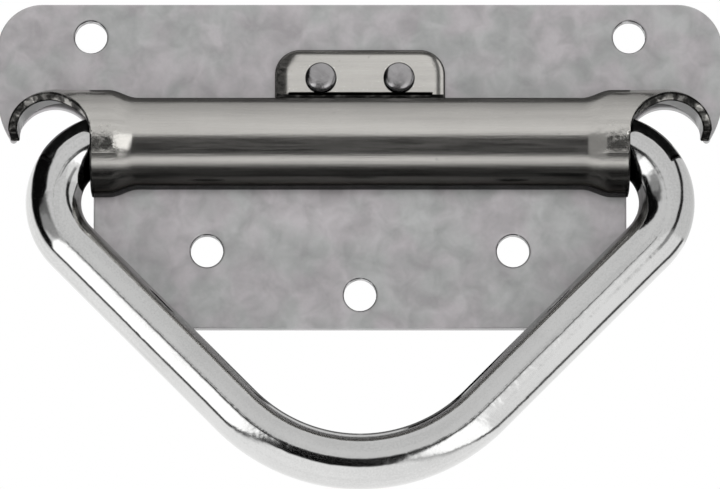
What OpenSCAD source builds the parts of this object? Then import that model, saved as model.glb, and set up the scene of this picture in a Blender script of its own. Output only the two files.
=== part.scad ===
// Lifting lug: a ring that swings in a formed sheet channel on a T-shaped fixing plate.
// X runs across, Y runs back towards what the plate is fixed to, and Z is up.
// The origin is on the plate's back face, behind the middle of the ring's hinge line.

/* [Ring] */
// Diameter of the ring's round bar
bar_d = 10; // [8:0.5:11]
// Overall width of the ring, outside to outside
ring_w = 119.4; // [110:0.2:140]
// Reach of the ring below its hinge line, to the outside of the bar
ring_reach = 62.4; // [58:0.1:66]
// Bend radius of the two shoulders, to the bar's centre line
shoulder_r = 11; // [10:0.5:13]
// Slope of the two legs, in degrees from level
leg_angle = 45; // [42:1:50]
// Gap between the bar's two ends, which meet inside the channel
butt_gap = 0.4; // [0.2:0.1:1]
// How much the bar is drawn thinner in its bends, in radius
bend_draw = 0.02; // [0.02:0.01:0.05]

/* [Back plate] */
// Thickness of the plate
plate_t = 3; // [2:0.5:5]
// Height of the plate above the hinge line
plate_up = 25.7; // [24:0.1:32]
// Depth of the plate's foot below the hinge line
plate_down = 32.9; // [30:0.1:40]
// Radius of the plate's outer corners
plate_corner_r = 8; // [2:0.5:10]
// How far each ear stands out past the retainer's hood
ear_margin = 2.4; // [2:0.1:8]
// Height of the ear's lower end above the hinge line
ear_low = 1.5; // [1:0.1:3]
// Height of the curved stretch on the ear's outer edge
ear_curve_h = 7.5; // [5:0.5:9]
// Radius of that curve
ear_curve_r = 14; // [12:0.5:20]
// How far the notch's edge lies back under the hood's sheet
notch_cover = 0.7; // [0.4:0.1:1]

/* [Fixing holes] */
// Diameter of the fixing holes
hole_d = 5.8; // [4:0.1:7]
// Rounding of each hole's mouth at the front
hole_mouth_r = 0.5; // [0.2:0.1:0.8]
// Upper holes, from the plate's side edge
top_hole_side = 16.7; // [14:0.1:25]
// Upper holes, down from the plate's top edge
top_hole_drop = 5.9; // [4.5:0.1:8]
// Lower pair of holes, centre to centre
low_hole_pitch = 54.8; // [40:0.2:70]
// Lower pair of holes, up from the plate's lower edge
low_hole_rise = 14; // [12:0.1:17]
// Lowest hole, up from the plate's lower edge
end_hole_rise = 6.1; // [5:0.1:9]

/* [Retainer] */
// Thickness of the formed sheet
sheet_t = 1.6; // [1.2:0.1:2]
// Gap between the bar and the channel round it
channel_play = 1.3; // [1:0.1:2]
// Gap between the bar and the plate behind it
bar_gap = 0.3; // [0.3:0.1:1]
// How much wider the channel's ends are, in radius
flare_step = 1.4; // [1:0.1:1.8]
// Length over which the channel widens
flare_len = 5.4; // [4:0.1:7]
// Length of the wide collar at each end
collar_len = 3; // [2.5:0.1:6]
// Gap along the hinge line from the collar's end to the ring's leg
end_gap = 1.7; // [1.6:0.1:2.5]
// How far the hoods reach out in front of the hinge line
hood_reach = 7.5; // [6:0.5:9]
// Height of the hood's outer lip above the hinge line
hood_lip = 0.9; // [0:0.1:2]

/* [Tab] */
// Width of the tab on the plate
tab_w = 30.5; // [26:0.5:40]
// Height of the tab above the channel
tab_h = 9.5; // [8.5:0.5:12]
// Radius of the tab's upper corners
tab_corner_r = 4.5; // [3:0.5:6]
// Straight stretch of the tab's edge under its rounding
tab_land = 0.2; // [0.1:0.1:0.6]
// Inside radius of the bend from the tab to the channel
tab_bend_r = 1; // [0.5:0.1:1.5]

/* [Rivets] */
// Diameter of the domed heads
rivet_head_d = 5.6; // [5:0.1:7]
// Height of the domed heads
rivet_head_h = 1.3; // [0.8:0.1:2]
// Straight rim under each dome
rivet_rim_h = 0.3; // [0.1:0.1:0.5]
// Diameter of the shanks
rivet_shank_d = 3.6; // [3:0.1:4]
// Gap round each shank
rivet_gap = 0.05; // [0.02:0.01:0.1]
// Diameter of the set tail in the plate's back face
rivet_tail_d = 5.4; // [4.5:0.1:6]
// Depth of the set tail
rivet_tail_h = 1; // [0.5:0.1:1.5]
// Distance between the two rivets
rivet_pitch = 14; // [11:0.5:18]
// Height of the rivets above the channel
rivet_rise = 4.2; // [4:0.1:5]

/* [Hidden] */
$fn = 96;
over = 1;
sides = [-1, 1];
bar_r = bar_d / 2;
// The hinge line, and the ring's centre line in the plane y = hinge_y
hinge_y = -(plate_t + bar_gap + bar_r);
leg_x = ring_w / 2 - bar_r;
bend_x = leg_x - shoulder_r;
ring_drop = ring_reach - bar_r;
// The bottom bend that meets both legs smoothly at that drop
crown_r = (bend_x * sin(leg_angle) + shoulder_r * (1 + cos(leg_angle))
    - ring_drop * cos(leg_angle)) / (1 - cos(leg_angle));
// The straight length of each leg between its two bends
leg_len = norm([
    bend_x - (crown_r - shoulder_r) * sin(leg_angle),
    ring_drop - crown_r - shoulder_r + (crown_r - shoulder_r) * cos(leg_angle)
]);
// How many degrees of each bend lie inside the straight bar at its ends
bend_lap = 1;
// Radii of the channel and of its wide collars, inside and outside
channel_r = bar_r + channel_play;
channel_out = channel_r + sheet_t;
collar_r = channel_r + flare_step;
collar_out = collar_r + sheet_t;
collar_end = leg_x - bar_r - end_gap;
flare_end = collar_end - collar_len;
flare_start = flare_end - flare_len;
// The widening is two equal arcs that meet at half its length and height
half_len = flare_len / 2;
half_step = flare_step / 2;
flare_r = (half_len * half_len + half_step * half_step) / (2 * half_step);
flare_slope = 2 * atan(half_step / half_len);
flare_steps = 6; // points along each arc
// The hood is centred on the ring's leg as it stands straight out, and is as wide as the channel
hood_out = channel_out;
hood_end_x = leg_x - flare_step;
notch_r = channel_r + notch_cover;
// The plate's outline, with the ear's tip lapped into the notch before the notch is cut
plate_side = leg_x + hood_out + ear_margin;
foot_side = leg_x - notch_r;
ear_top = ear_low + ear_curve_h;
ear_centre_x = plate_side - ear_curve_r;
ear_tip_lap = 0.1;
ear_out_x = ear_centre_x + sqrt(ear_curve_r * ear_curve_r - ear_curve_h * ear_curve_h);
ear_in_x = leg_x + sqrt(notch_r * notch_r - ear_low * ear_low);
ear_tip_r = (ear_out_x - ear_in_x + ear_tip_lap) / 2;
// The tab and the rivets
tab_roll = sheet_t - tab_land;
tab_top = channel_out + tab_h;
tab_front = -(plate_t + sheet_t);
rivet_z = channel_out + rivet_rise;
dome_h = rivet_head_h - rivet_rim_h;
dome_r = (rivet_head_d * rivet_head_d / 4 + dome_h * dome_h) / (2 * dome_h);

// Turns what is drawn in the XY plane up into XZ, so that heights run up and depth runs to the front
module upright(y = 0) {
    translate([0, y, 0]) rotate([90, 0, 0]) children();
}

// A circle of radius r with its centre at x, z
module disc(x, z, r) {
    translate([x, z]) circle(r);
}

// The plate's outline on the right of the middle, without its holes
module half_plate_outline() {
    difference() {
        union() {
            translate([0, ear_top]) square([plate_side - plate_corner_r, plate_up - ear_top]);
            translate([0, ear_top]) square([plate_side, plate_up - plate_corner_r - ear_top]);
            disc(plate_side - plate_corner_r, plate_up - plate_corner_r, plate_corner_r);
            square([leg_x, ear_top]);
            intersection() {
                translate([leg_x - over, ear_low]) square([plate_side - leg_x + over, ear_curve_h]);
                union() {
                    disc(ear_centre_x, ear_top, ear_curve_r);
                    translate([0, ear_low]) square([ear_centre_x, ear_curve_h]);
                }
            }
            disc(ear_out_x - ear_tip_r, ear_low, ear_tip_r);
        }
        disc(leg_x, 0, notch_r);
    }
    translate([0, plate_corner_r - plate_down]) square([foot_side, plate_down - plate_corner_r]);
    translate([0, -plate_down]) square([foot_side - plate_corner_r, plate_down]);
    disc(foot_side - plate_corner_r, plate_corner_r - plate_down, plate_corner_r);
}

// One fixing hole through the plate at x, z, with its mouth rounded at the front
module fixing_hole(x, z) {
    translate([x, 0, z]) {
        upright(over) cylinder(d = hole_d, h = plate_t + 2 * over);
        upright(hole_mouth_r - plate_t) rotate_extrude() difference() {
            square([hole_d / 2 + hole_mouth_r, hole_mouth_r + over]);
            translate([hole_d / 2 + hole_mouth_r, 0]) circle(hole_mouth_r);
        }
    }
}

// The seat of one rivet in the plate: a hole, with a cone at the back for the set tail
module rivet_seat() {
    upright(over) cylinder(d = rivet_shank_d + 2 * rivet_gap, h = plate_t + sheet_t + 2 * over);
    upright() cylinder(
        d1 = rivet_tail_d + 2 * rivet_gap, d2 = rivet_shank_d + 2 * rivet_gap, h = rivet_tail_h
    );
}

module back_plate() {
    color("darkgray") difference() {
        upright() linear_extrude(plate_t) {
            half_plate_outline();
            mirror([1, 0]) half_plate_outline();
        }
        for (side = sides) {
            fixing_hole(side * (plate_side - top_hole_side), plate_up - top_hole_drop);
            fixing_hole(side * low_hole_pitch / 2, low_hole_rise - plate_down);
            translate([side * rivet_pitch / 2, 0, rivet_z]) rivet_seat();
        }
        fixing_hole(0, end_hole_rise - plate_down);
    }
}

// Half of the channel's section along the hinge line, as points of x against radius.
// inset 0 gives its outer face and inset sheet_t its inner face.
function half_section(inset) = concat(
    [for (i = [0 : flare_steps]) let(turn = flare_slope * i / flare_steps) [
        flare_start + (flare_r + inset) * sin(turn),
        channel_out + flare_r - (flare_r + inset) * cos(turn)
    ]],
    [for (i = [1 : flare_steps]) let(turn = flare_slope * (1 - i / flare_steps)) [
        flare_end - (flare_r - inset) * sin(turn),
        collar_out - flare_r + (flare_r - inset) * cos(turn)
    ]],
    [[collar_end, collar_out - inset]]
);

function reversed(points) = [for (i = [len(points) - 1 : -1 : 0]) points[i]];

// The section of the channel's sheet, from end to end
module channel_section() {
    right = concat(half_section(0), reversed(half_section(sheet_t)));
    left = [for (point = reversed(right)) [-point[0], point[1]]];
    polygon(concat(right, left));
}

// The channel: a half turn of that section in front of the hinge line, and the same
// section carried straight back to the plate, above and below
module channel() {
    translate([0, hinge_y, 0]) rotate([0, -90, 180]) rotate_extrude(angle = 180)
        mirror([1, -1]) channel_section();
    upright(-plate_t) linear_extrude(-plate_t - hinge_y) {
        channel_section();
        mirror([0, 1]) channel_section();
    }
}

// A box from x0 to x1 and from z0 to z1, from the plate out to y1
module slab(x0, x1, z0, z1, y1, past) {
    translate([x0, y1, z0]) cube([x1 - x0, past - plate_t - y1, z1 - z0]);
}

// A round bar along Y at x, from the plate out to y1
module post(x, r, y1, past) {
    translate([x, 0, 0]) upright(past - plate_t) cylinder(r = r, h = past - plate_t - y1);
}

// The right hood as a filled body. The collar's upper wall runs on over the ring's leg,
// its end is rounded down, and an arch round the leg comes forward to the hood's front edge.
// inset and past are 0 for its outer form. For its inner form, inset is the sheet's
// thickness and past carries it on through the open sides.
module hood_body(inset, past) {
    r = collar_out - inset;
    rim_r = hood_out - inset;
    rim_y = hinge_y - hood_reach;
    front_y = hinge_y - collar_out - past;
    intersection() {
        union() {
            intersection() {
                union() {
                    translate([0, hinge_y, 0]) rotate([0, 90, 0]) cylinder(r = r, h = leg_x);
                    slab(0, leg_x, -past, r, hinge_y, past);
                }
                slab(flare_end, leg_x, -past, r, front_y, past);
            }
            post(leg_x, r, hinge_y, past);
            translate([leg_x, 0, 0]) upright(hinge_y) cylinder(r1 = r, r2 = rim_r, h = hood_reach);
            if (past > 0) post(leg_x, rim_r, front_y, past);
        }
        union() {
            slab(0, hood_end_x, -past, r, front_y, past);
            post(hood_end_x, r, front_y, past);
        }
        union() {
            slab(flare_end, leg_x, -past, r, front_y, past);
            slab(leg_x, plate_side, hood_lip - past, r, front_y, past);
        }
    }
}

// The section of the tab from 0 out to a rolled edge at the given width
module rolled_section(width) {
    square([width - tab_roll, sheet_t]);
    square([width, tab_land]);
    translate([width - tab_roll, tab_land]) intersection() {
        circle(tab_roll);
        square(tab_roll);
    }
}

// The tab, from the middle of the channel's wall up, with its upper corners rounded and
// its front edges rolled over
module rolled_tab() {
    foot = channel_r + sheet_t / 2;
    corner_x = tab_w / 2 - tab_corner_r;
    corner_z = tab_top - tab_corner_r;
    upright(-plate_t) {
        translate([0, corner_z, 0]) rotate([90, 0, 0]) linear_extrude(corner_z - foot)
            for (way = [0, 1]) mirror([way, 0]) rolled_section(tab_w / 2);
        translate([-corner_x, corner_z, 0]) rotate([90, 0, 90]) linear_extrude(2 * corner_x)
            rolled_section(tab_corner_r);
        for (way = [0, 1]) mirror([way, 0, 0]) translate([corner_x, corner_z, 0])
            rotate_extrude(angle = 90) rolled_section(tab_corner_r);
    }
}

// The bend between the tab and the channel: a bar of the given radius along the bend's centre
module bend_core(r, length) {
    translate([-length / 2, tab_front - tab_bend_r, channel_out + tab_bend_r]) rotate([0, 90, 0])
        cylinder(r = r, h = length);
}

module retainer() {
    color("silver") difference() {
        union() {
            channel();
            for (way = [0, 1]) mirror([way, 0, 0]) difference() {
                hood_body(0, 0);
                hood_body(sheet_t, over);
            }
            rolled_tab();
            // Inside of the bend, filled to its radius
            difference() {
                translate([tab_roll - tab_w / 2, tab_front - tab_bend_r, channel_out - sheet_t / 2])
                    cube([tab_w - 2 * tab_roll, tab_bend_r + sheet_t / 2, tab_bend_r + sheet_t / 2]);
                bend_core(tab_bend_r, tab_w);
            }
        }
        // Outside of the bend, rounded off where the sheet leaves the plate
        difference() {
            translate([-tab_w / 2, tab_front - tab_bend_r, channel_r - over])
                cube([tab_w, sheet_t + tab_bend_r + over, sheet_t + tab_bend_r + over]);
            bend_core(sheet_t + tab_bend_r, tab_w + over);
        }
        for (side = sides) translate([side * rivet_pitch / 2, 0, rivet_z]) rivet_seat();
    }
}

// A straight stretch of bar that sets out along X, and what follows at its end
module straight(length) {
    rotate([-90, 0, -90]) cylinder(r = bar_r, h = length);
    translate([length, 0, 0]) children();
}

// A bend of the bar from X towards Y, which runs a little way on inside the straight bar
// at both its ends, and what follows at its end
module bend(r, turn) {
    translate([0, r, 0]) {
        rotate([0, 0, -90 - bend_lap]) rotate_extrude(angle = turn + 2 * bend_lap)
            translate([r, 0]) circle(bar_r - bend_draw);
        rotate([0, 0, turn]) translate([0, -r, 0]) children();
    }
}

// One bar bent round from the middle of its top run, where its two ends meet
module ring() {
    top_len = bend_x - butt_gap / 2;
    shoulder_turn = 180 - leg_angle;
    color("gainsboro") upright(hinge_y) rotate([0, 0, 180]) translate([butt_gap / 2, 0, 0])
        straight(top_len) bend(shoulder_r, shoulder_turn)
        straight(leg_len) bend(crown_r, 2 * leg_angle)
        straight(leg_len) bend(shoulder_r, shoulder_turn) straight(top_len);
}

// One solid rivet: domed head on the tab, shank through both sheets, tail set flush at the back
module rivet() {
    head = plate_t + sheet_t;
    upright() {
        cylinder(d1 = rivet_tail_d, d2 = rivet_shank_d, h = rivet_tail_h);
        cylinder(d = rivet_shank_d, h = head + rivet_rim_h);
        translate([0, 0, head]) cylinder(d = rivet_head_d, h = rivet_rim_h);
        translate([0, 0, head + rivet_rim_h]) intersection() {
            translate([0, 0, dome_h - dome_r]) sphere(dome_r);
            cylinder(d = rivet_head_d, h = dome_h + over);
        }
    }
}

module rivets() {
    color("gray") for (side = sides) translate([side * rivet_pitch / 2, 0, rivet_z]) rivet();
}

back_plate();
retainer();
ring();
rivets();
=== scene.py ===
"""Lifting lug: the looks of its plate, formed retainer, bar ring and rivets.

Everything is in metres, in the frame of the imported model: X across, Y back, Z up, with the
plate's back face on y = 0 and the hinge line of the ring at z = 0.
"""

import math

import bmesh
import bpy
import numpy as np
from bpy.props import FloatProperty, FloatVectorProperty, IntProperty, PointerProperty
from bpy.types import Operator, Panel, PropertyGroup
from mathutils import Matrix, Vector


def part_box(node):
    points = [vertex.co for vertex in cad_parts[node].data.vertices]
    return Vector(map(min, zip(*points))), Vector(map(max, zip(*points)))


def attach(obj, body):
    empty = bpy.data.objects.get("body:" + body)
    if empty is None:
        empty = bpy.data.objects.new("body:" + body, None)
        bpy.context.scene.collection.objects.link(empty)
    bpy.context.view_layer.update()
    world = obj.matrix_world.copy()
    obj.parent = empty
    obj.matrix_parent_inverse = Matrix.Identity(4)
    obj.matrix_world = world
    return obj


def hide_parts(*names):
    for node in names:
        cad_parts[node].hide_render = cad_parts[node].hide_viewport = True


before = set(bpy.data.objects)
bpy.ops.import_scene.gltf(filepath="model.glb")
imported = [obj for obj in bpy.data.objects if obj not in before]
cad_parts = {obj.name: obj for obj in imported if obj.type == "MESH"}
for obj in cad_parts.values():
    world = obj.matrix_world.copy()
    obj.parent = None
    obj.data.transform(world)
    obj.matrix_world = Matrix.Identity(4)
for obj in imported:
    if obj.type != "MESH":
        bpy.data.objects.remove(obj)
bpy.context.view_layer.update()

bl_info = {
    "name": "Lifting lug",
    "version": (1, 0, 0),
    "blender": (4, 5, 0),
    "location": "View3D > Sidebar > Lug",
    "description": "Builds the plate, retainer, ring and rivets of a hinged lifting lug",
    "category": "Add Mesh",
}

MM = 0.001
PLATE_LO, PLATE_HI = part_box("back_plate")
RING_LO, RING_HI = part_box("ring")
SHEET_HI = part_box("retainer")[1]
# Fixing holes as (x, z): two at the top, two in the foot and one near its lower edge
HOLES = np.array(((48.3, 19.8), (-48.3, 19.8), (27.4, -18.9), (-27.4, -18.9), (0, -26.8))) * MM
# Chamfer of the plate's back edges and of the rivet heads
BURR = 0.12 * MM
# Clearance round the rivets, and depth of their set tails
RIVET_GAP, TAIL_DEPTH = 0.05 * MM, 1.0 * MM
# Rows over a quarter of the channel's round
QUARTER_ROWS = 28
# Studio round the formed sheet, from the floor upwards: height on a polished ball, and brightness
SHEET_STUDIO = (
    # Dark floor
    (-0.65, 0.015), (-0.56, 0.10),
    # Low reflector
    (-0.46, 0.66), (-0.39, 0.88), (-0.34, 0.66), (-0.29, 0.12),
    # Dark room
    (-0.24, 0.03), (0.10, 0.05),
    # Softbox and its fading top
    (0.18, 0.75), (0.24, 0.86), (0.60, 0.68), (0.83, 0.42), (1.0, 0.10),
)
# Flags and reflectors round the softbox: level, softness, and corners as (turn, inner, outer)
STUDIO_CARDS = (
    # Pale floor, low all round
    (1.15, 0.06, (150, 0.92, 2), (180, 0.78, 2), (215, 0.70, 2), (234, 0.62, 2), (242, 0.33, 2),
     (284, 0.33, 2), (296, 0.62, 2), (335, 0.92, 2)),
    # Dusky gap beside the left flag
    (0.16, 0.14, (176, 0.24, 0.5), (190, 0.16, 0.6), (203, 0.16, 0.5)),
    (0.36, 0.14, (190, 0.30, 0.5), (200, 0.14, 0.5), (210, 0.14, 0.4), (214, 0.12, 0.3)),
    # Left flag
    (0.004, 0.05, (108, 0.70, 2), (118, 0.80, 2), (126, 0.72, 2), (132, 0.72, 2), (134, 0.90, 2),
     (136, 0.90, 2), (138, 0.56, 2), (150, 0.42, 0.96), (160, 0.34, 0.88), (170, 0.26, 0.80),
     (180, 0.34, 0.76), (186, 0.50, 0.74), (200, 0.52, 0.70), (212, 0.50, 0.67), (220, 0.60, 0.65)),
    # Left and right reflectors
    (1.75, 0.03, (213, 0.30, 0.45), (217, 0.16, 0.59), (228, 0.13, 0.57), (234, 0.12, 0.42),
     (240, 0.10, 0.2)),
    (1.75, 0.03, (288, 0.14, 0.26), (296, 0.13, 0.50), (304, 0.12, 0.63), (312, 0.12, 0.76)),
    (1.05, 0.06, (313, 0.12, 0.77), (322, 0.16, 0.80), (334, 0.30, 0.84)),
    # Dark foot under the camera, and its edges along both reflectors
    (0.006, 0.04, (234, 0.42, 0.50), (241, 0.01, 0.34), (252, 0.00, 0.31), (280, 0.00, 0.31),
     (286, 0.02, 0.2), (296, 0.05, 0.11)),
    (0.05, 0.03, (214, 0.08, 0.12), (241, 0.04, 0.10)),
    (0.06, 0.03, (220, 0.60, 0.64), (228, 0.57, 0.65), (235, 0.40, 0.52)),
    (0.08, 0.03, (296, 0.05, 0.11), (312, 0.06, 0.10), (330, 0.08, 0.11)),
    (0.50, 0.03, (286, 0.26, 0.32), (296, 0.50, 0.55), (306, 0.66, 0.72)),
    (0.08, 0.03, (306, 0.66, 0.72), (315, 0.78, 0.85), (335, 0.84, 0.92)),
    # Right stand, thin where it leans over the camera
    (0.35, 0.05, (318, 0.34, 0.44), (338, 0.38, 0.50)),
    (0.015, 0.04, (337, 0.39, 0.50), (350, 0.42, 0.53), (360, 0.47, 0.58), (370, 0.53, 0.63),
     (380, 0.58, 0.68), (390, 0.64, 0.73), (398, 0.70, 0.79), (404, 0.82, 0.90), (412, 0.88, 1.0)),
    # Rim of the backdrop overhead
    (0.14, 0.05, (90, 0.90, 2), (130, 0.90, 2)),
    (0.14, 0.05, (396, 0.92, 2), (450, 0.90, 2)),
)


# Sizes and colours that a user would change


def length(name, description, default):
    """A length that a user can change."""
    return FloatProperty(
        name=name, description=description, default=default, unit="LENGTH", subtype="DISTANCE")


def paint(name, description, default):
    """A colour that a user can change."""
    return FloatVectorProperty(
        name=name, description=description, default=default, size=3, subtype="COLOR", min=0, max=1)


class LugPlateSizes(PropertyGroup):
    """Sizes of the galvanised back plate."""

    thickness: length("Thickness", "Thickness of the plate's sheet", PLATE_HI.y - PLATE_LO.y)
    half_width: length("Half width", "From the middle to the plate's side", PLATE_HI.x)
    top: length("Top", "Height of the upper edge over the hinge line", PLATE_HI.z)
    foot: length("Foot", "Depth of the lower edge under the hinge line", -PLATE_LO.z)
    corner: length("Corner radius", "Radius of the rounded corners", 8.0 * MM)
    hole: length("Hole diameter", "Diameter of the fixing holes", 5.8 * MM)
    mouth: length("Hole mouth", "Rounding of each hole's front edge", 0.5 * MM)
    rolled_edge: length("Rolled edge", "Rounding of the plate's front edge", 0.35 * MM)
    tint: paint("Zinc", "Colour of the hot-dipped zinc", (0.437, 0.432, 0.439))


class LugSheetSizes(PropertyGroup):
    """Sizes of the formed retainer: channel, flared collars, hoods and tab."""

    gauge: length("Gauge", "Thickness of the retainer's sheet", 1.6 * MM)
    channel: length("Channel radius", "Outer radius of the channel over the bar", 7.9 * MM)
    collar: length("Collar radius", "Outer radius of the wider collars", 9.3 * MM)
    flare_start: length("Flare start", "From the middle to where the flare begins", 39.6 * MM)
    flare_end: length("Flare end", "From the middle to where the flare ends", 45.0 * MM)
    collar_end: length("Collar end", "From the middle to the collar's open end", 48.0 * MM)
    hood_out: length("Hood side", "From the middle to the hood's outer side", SHEET_HI.x)
    hood_crest: length("Hood crest", "From the middle to the top of the hood's rim", 55.25 * MM)
    hood_reach: length("Hood reach", "From the hinge line forward to the hood's rim", 7.5 * MM)
    hood_rim: length("Hood rim height", "Height of the hood's rim over the hinge line", 7.9 * MM)
    lip: length("Hood lip", "Height where the hood's side turns down", 1.3 * MM)
    ease: length("Eased edges", "Rounding of the sheet's cut edges", 0.3 * MM)
    tab_width: length("Tab width", "Width of the riveted tab", 30.5 * MM)
    tab_top: length("Tab top", "Height of the tab's upper edge over the hinge line", SHEET_HI.z)
    tab_corner: length("Tab corner radius", "Radius of the tab's upper corners", 4.5 * MM)
    tab_roll: length("Tab edge roll", "Width of the tab's rolled front edges", 2.6 * MM)
    tab_bend: length("Tab bend", "Radius of the hollow at the tab's foot", 1.0 * MM)
    tint: paint("Sheet plating", "Colour of the sheet's bright plating", (0.60, 0.585, 0.555))


class LugRingSizes(PropertyGroup):
    """Sizes of the bar ring."""

    bar: length("Bar diameter", "Diameter of the round bar", RING_HI.y - RING_LO.y)
    hinge_y: length("Hinge line", "Place of the hinge line along Y", (RING_HI.y + RING_LO.y) / 2)
    bend_x: length("Shoulder start", "From the middle to where the shoulders begin", 43.7 * MM)
    shoulder: length("Shoulder radius", "Radius of the bar's middle line in the shoulders", 11.0 * MM)
    reach: length("Reach", "From the hinge line down to the bar's lowest side", -RING_LO.z)
    butt: length("Butt gap", "Gap between the bar's hidden ends", 0.4 * MM)
    ease: length("Eased ends", "Rounding of the bar's ends", 0.6 * MM)
    sides: IntProperty(name="Sides", description="Faces round the bar", default=72, min=12)
    tint: paint("Bar plating", "Colour of the bar's bright plating", (0.62, 0.62, 0.615))


class LugRivetSizes(PropertyGroup):
    """Sizes of the two rivets."""

    head: length("Head diameter", "Diameter of the domed head", 5.6 * MM)
    dome: length("Dome height", "Height of the dome over the head's rim", 1.0 * MM)
    rim: length("Rim height", "Height of the head's straight rim", 0.3 * MM)
    shank: length("Shank diameter", "Diameter of the shank", 3.6 * MM)
    tail: length("Tail diameter", "Diameter of the set tail at the back", 5.4 * MM)
    pitch: length("Pitch", "Distance between the two rivets", 14.0 * MM)
    height: length("Height", "Height of the rivets over the hinge line", 12.1 * MM)
    tint: paint("Rivet steel", "Colour of the rivets", (0.40, 0.39, 0.395))


class LugStageSettings(PropertyGroup):
    """Camera and studio."""

    distance: length("Camera distance", "From the camera to the ring's plane", 1.5)
    elevation: FloatProperty(
        name="Camera elevation", description="Angle of the camera over the horizon",
        default=math.radians(-7.5), unit="ROTATION", subtype="ANGLE")
    view_width: length("View width", "Width of the view at the ring's plane", 720 / 5.6 * MM)
    aim_drop: length("Aim", "How far under the hinge line the camera aims", 18.3 * MM)
    tent: length("Tent radius", "Radius of the reflecting studio tent", 3.0)
    tint: paint("Floor", "Colour of the pale floor", (0.82, 0.82, 0.82))


# Shapes


def arc(cx, cz, radius, start, end, count):
    """Points of an arc: the centre plus the radius times cosine and sine of evenly spaced angles."""
    turn = np.radians(np.linspace(start, end, count))
    return np.column_stack((cx + radius * np.cos(turn), cz + radius * np.sin(turn)))


def grid_faces(rows, columns, wrap=False):
    """Quads of a grid of points that are numbered row by row."""
    index = np.arange(rows * columns).reshape(rows, columns)
    if wrap:
        index = np.hstack((index, index[:, :1]))
    return np.stack((index[:-1, :-1], index[1:, :-1], index[1:, 1:], index[:-1, 1:]), -1).reshape(-1, 4)


def gather(patches):
    """Joins patches of (points, faces) into one list of points and one of faces."""
    points, faces, first = [], [], 0
    for patch_points, patch_faces in patches:
        points.append(np.asarray(patch_points, float).reshape(-1, 3))
        faces.extend((np.asarray(face) + first).tolist() for face in patch_faces)
        first += len(points[-1])
    return np.vstack(points), faces


def new_mesh(name, points, faces, materials):
    """A mesh object at the origin, in the scene."""
    mesh = bpy.data.meshes.new(name)
    mesh.from_pydata(np.asarray(points).reshape(-1, 3).tolist(), [], faces)
    for material in materials:
        mesh.materials.append(material)
    made = bpy.data.objects.new(name, mesh)
    bpy.context.scene.collection.objects.link(made)
    return made


def new_piece(name, patches, materials, uv=None, closed=True, caps=(), slots=None):
    """A smooth piece of patches: doubles merged, open rims at the caps' y filled, normals outwards."""
    piece = new_mesh(name, *gather(patches), materials)
    mesh = piece.data
    if slots is not None:
        mesh.polygons.foreach_set("material_index", np.asarray(slots, np.int32))
    if uv is not None:
        layer = mesh.uv_layers.new(name="wrap")
        corner = np.empty(len(mesh.loops), np.int32)
        mesh.loops.foreach_get("vertex_index", corner)
        layer.data.foreach_set("uv", uv[corner].astype(np.float32).ravel())
    work = bmesh.new()
    work.from_mesh(mesh)
    bmesh.ops.remove_doubles(work, verts=work.verts, dist=1e-7)
    for level in caps:
        rim = [e for e in work.edges if e.is_boundary and all(abs(v.co.y - level) < 1e-7 for v in e.verts)]
        bmesh.ops.triangle_fill(work, use_beauty=True, edges=rim)
    if closed:
        bmesh.ops.holes_fill(work, edges=[e for e in work.edges if e.is_boundary], sides=0)
        bmesh.ops.recalc_face_normals(work, faces=work.faces)
    work.to_mesh(mesh)
    work.free()
    mesh.polygons.foreach_set("use_smooth", np.ones(len(mesh.polygons), bool))
    return piece


def weigh_normals(piece):
    """Lets flat faces keep flat shading next to their rounded edges."""
    weigh = piece.modifiers.new("flat_faces", "WEIGHTED_NORMAL")
    weigh.mode, weigh.weight, weigh.keep_sharp = "FACE_AREA", 100, True


def fit(piece, body, solid):
    """Rides the piece on its body, in place of its solid, which it hides."""
    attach(piece, body)
    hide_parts(solid)


def path_normals(loop):
    """Unit normals of a closed loop, to its left, mitred: both edges' mean normal over its length squared."""
    ahead = np.roll(loop, -1, 0) - loop
    ahead /= np.linalg.norm(ahead, axis=1)[:, None]
    normal = np.column_stack((-ahead[:, 1], ahead[:, 0]))
    mean = (normal + np.roll(normal, 1, 0)) / 2
    return mean / (mean ** 2).sum(1)[:, None]


def quarter(radius, steps):
    """A quarter round as (inset, depth): from the flat face, over the edge, to the wall."""
    turn = np.linspace(0, math.pi / 2, steps)
    return np.column_stack((radius * (1 - np.sin(turn)), radius * (1 - np.cos(turn))))


def carried(loop, inward, profile):
    """A profile of (inset, y) carried along points of (x, z): each moves inwards by the inset."""
    line = loop[None] + inward[None] * profile[:, None, :1]
    depth = np.broadcast_to(profile[:, None, 1:], line.shape[:2] + (1,))
    return np.concatenate((line[..., :1], depth, line[..., 1:]), -1)


def wall_patch(loop, profile):
    """A profile of (inset, y) carried round a closed loop of (x, z)."""
    return carried(loop, path_normals(loop), profile), grid_faces(len(profile), len(loop), wrap=True)


def plate_outline(s):
    """The plate's outline, clockwise from the top.

    Corner arcs, tapered ears, each with a small round at its tip, the notch round the ring's
    leg and the foot's corners, joined by straight sides, with the other half mirrored.
    """
    leg_x, notch, foot_x = 54.7 * MM, 7 * MM, 47.7 * MM
    ear_x, ear_top, ear_low, ear_r = 51 * MM, 9 * MM, 1.5 * MM, 14 * MM
    dip = math.degrees(math.asin((ear_top - ear_low) / ear_r))
    lift = math.degrees(math.asin(ear_low / notch))
    ear_out = ear_x + ear_r * math.cos(math.radians(dip))
    ear_in = leg_x + notch * math.cos(math.radians(lift))
    c = s.corner
    right = np.vstack((
        arc(s.half_width - c, s.top - c, c, 90, 0, 17),
        arc(ear_x, ear_top, ear_r, 0, -dip, 9),
        arc((ear_out + ear_in) / 2, ear_low, (ear_out - ear_in) / 2, 0, -180, 9)[1:-1],
        arc(leg_x, 0, notch, lift, 180, 41),
        arc(foot_x - c, c - s.foot, c, 0, -90, 17),
    ))
    return np.vstack((right, right[::-1] * (-1, 1)))


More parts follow.
